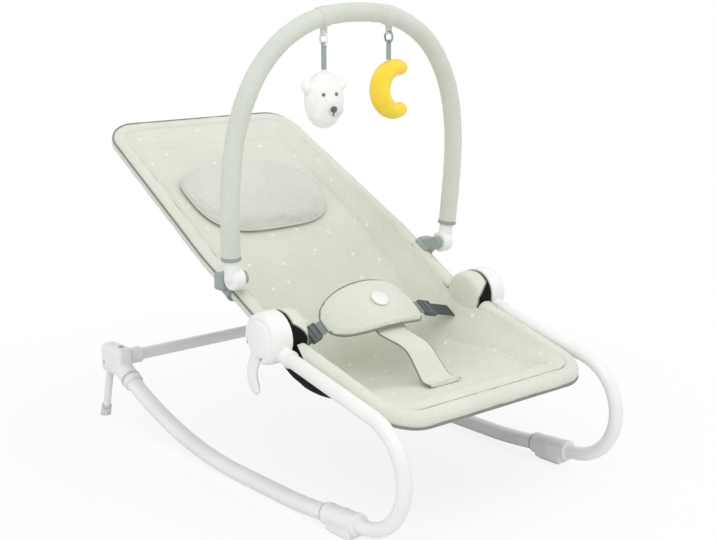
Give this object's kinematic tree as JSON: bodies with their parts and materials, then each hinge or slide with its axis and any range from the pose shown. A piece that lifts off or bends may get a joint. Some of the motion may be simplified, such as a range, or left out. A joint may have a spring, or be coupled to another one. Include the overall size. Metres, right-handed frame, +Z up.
{
  "type": "baby bouncer",
  "caption": "Infant bouncer seat on a curved tube base, with a reclining padded fabric seat, a waist harness and a swing-over padded arch that carries hanging soft toys.",
  "frame": {"origin": "middle of the footprint's bounding box, on the floor", "axes": "+Z up, -Y towards the feet end, +Y towards the head end, X across the width"},
  "size_m": [0.4724, 0.7876, 0.701],
  "materials": {
    "white_paint": "white powder coat, satin",
    "white_plastic": "fine moulded satin",
    "grey_plastic": "dark grey, fine moulded satin",
    "steel": "plain machined",
    "grey_rubber": "light grey, dull",
    "sage_fabric": "sage grey-green weave, quilted padding",
    "sage_trim": "darker grey-green tape",
    "black_lining": "black mesh lining",
    "pillow_fabric": "light grey-green knit",
    "dark_webbing": "dark grey webbing",
    "white_plush": "white short-pile plush",
    "grey_plush": "dark grey short-pile plush",
    "yellow_plush": "yellow short-pile plush"
  },
  "bodies": {
    "base": {"front_bend_tube_right": "white_paint", "front_bend_tube_left": "white_paint", "rocker_tube_right": "white_paint", "rocker_tube_left": "white_paint", "front_foot_right": "white_plastic", "front_foot_left": "white_plastic", "foot_pad_right": "grey_rubber", "foot_pad_left": "grey_rubber", "rear_connector_right": "white_plastic", "rear_connector_left": "white_plastic", "hub_housing_right": "white_plastic", "hub_housing_left": "white_plastic", "hub_pin_right": "steel", "hub_pin_left": "steel", "lock_plate_right": "steel", "lock_plate_left": "steel", "lever_spring_right": "steel", "lever_spring_left": "steel", "stand_pin_right": "steel", "stand_pin_left": "steel", "rear_cross_tube": "white_paint"},
    "seat": {"back_frame_tube": "steel", "front_frame_tube": "steel", "back_edge_sleeve": "sage_fabric", "front_edge_sleeve": "sage_fabric", "seat_cover": "sage_fabric", "seat_lining": "black_lining", "head_pillow": "pillow_fabric", "waist_panel": "sage_fabric", "crotch_panel": "sage_fabric", "harness_badge": "white_plastic", "seat_disc_right": "white_plastic", "seat_disc_left": "white_plastic", "arch_clip_right": "grey_plastic", "arch_clip_left": "grey_plastic", "harness_webbing_right": "dark_webbing", "harness_webbing_left": "dark_webbing", "buckle_right": "grey_plastic", "buckle_left": "grey_plastic", "buckle_tongue_right": "sage_trim", "buckle_tongue_left": "sage_trim"},
    "toy_bar": {"arch_core": "white_plastic", "arch_sleeve": "sage_fabric", "arch_knuckle_right": "white_plastic", "arch_knuckle_left": "white_plastic", "toy_band_right": "sage_fabric", "toy_band_left": "sage_fabric"},
    "animal_toy": {"animal_ring": "white_plastic", "animal_strap": "dark_webbing", "animal_head": "white_plush", "animal_muzzle": "grey_plush"},
    "moon_toy": {"moon_ring": "dark_webbing", "moon_strap": "dark_webbing", "toy_moon": "yellow_plush"},
    "stand_right": {"stand_leg_right": "white_paint", "stand_tip_right": "grey_rubber"},
    "stand_left": {"stand_leg_left": "white_paint", "stand_tip_left": "grey_rubber"},
    "lever_right": {"release_lever_right": "white_plastic"},
    "lever_left": {"release_lever_left": "white_plastic"}
  },
  "joints": [
    {"name": "seat_recline", "type": "hinge", "parent": "base", "child": "seat", "pos_m": [0, -0.103, 0.243], "axis": [1, 0, 0], "range_deg": [-32, 12]},
    {"name": "toy_bar_swing", "type": "hinge", "parent": "seat", "child": "toy_bar", "pos_m": [0, -0.015, 0.311], "axis": [1, 0, 0], "range_deg": [-45, 75]},
    {"name": "animal_toy_swing", "type": "hinge", "parent": "toy_bar", "child": "animal_toy", "pos_m": [-0.062, -0.0409, 0.6582], "axis": [1, 0, 0], "range_deg": [-30, 30]},
    {"name": "moon_toy_swing", "type": "hinge", "parent": "toy_bar", "child": "moon_toy", "pos_m": [0.064, -0.0409, 0.6578], "axis": [1, 0, 0], "range_deg": [-30, 30]},
    {"name": "stand_right_fold", "type": "hinge", "parent": "base", "child": "stand_right", "pos_m": [-0.212, 0.35202, 0.10299], "axis": [1, 0, 0], "range_deg": [0, 85]},
    {"name": "stand_left_fold", "type": "hinge", "parent": "base", "child": "stand_left", "pos_m": [0.212, 0.35202, 0.10299], "axis": [1, 0, 0], "range_deg": [0, 85]},
    {"name": "lever_right_press", "type": "hinge", "parent": "base", "child": "lever_right", "pos_m": [-0.2267, -0.103, 0.243], "axis": [1, 0, 0], "range_deg": [0, 18], "stiffness_Nm_per_rad": 0.3},
    {"name": "lever_left_press", "type": "hinge", "parent": "base", "child": "lever_left", "pos_m": [0.2267, -0.103, 0.243], "axis": [1, 0, 0], "range_deg": [0, 18], "stiffness_Nm_per_rad": 0.3}
  ]
}
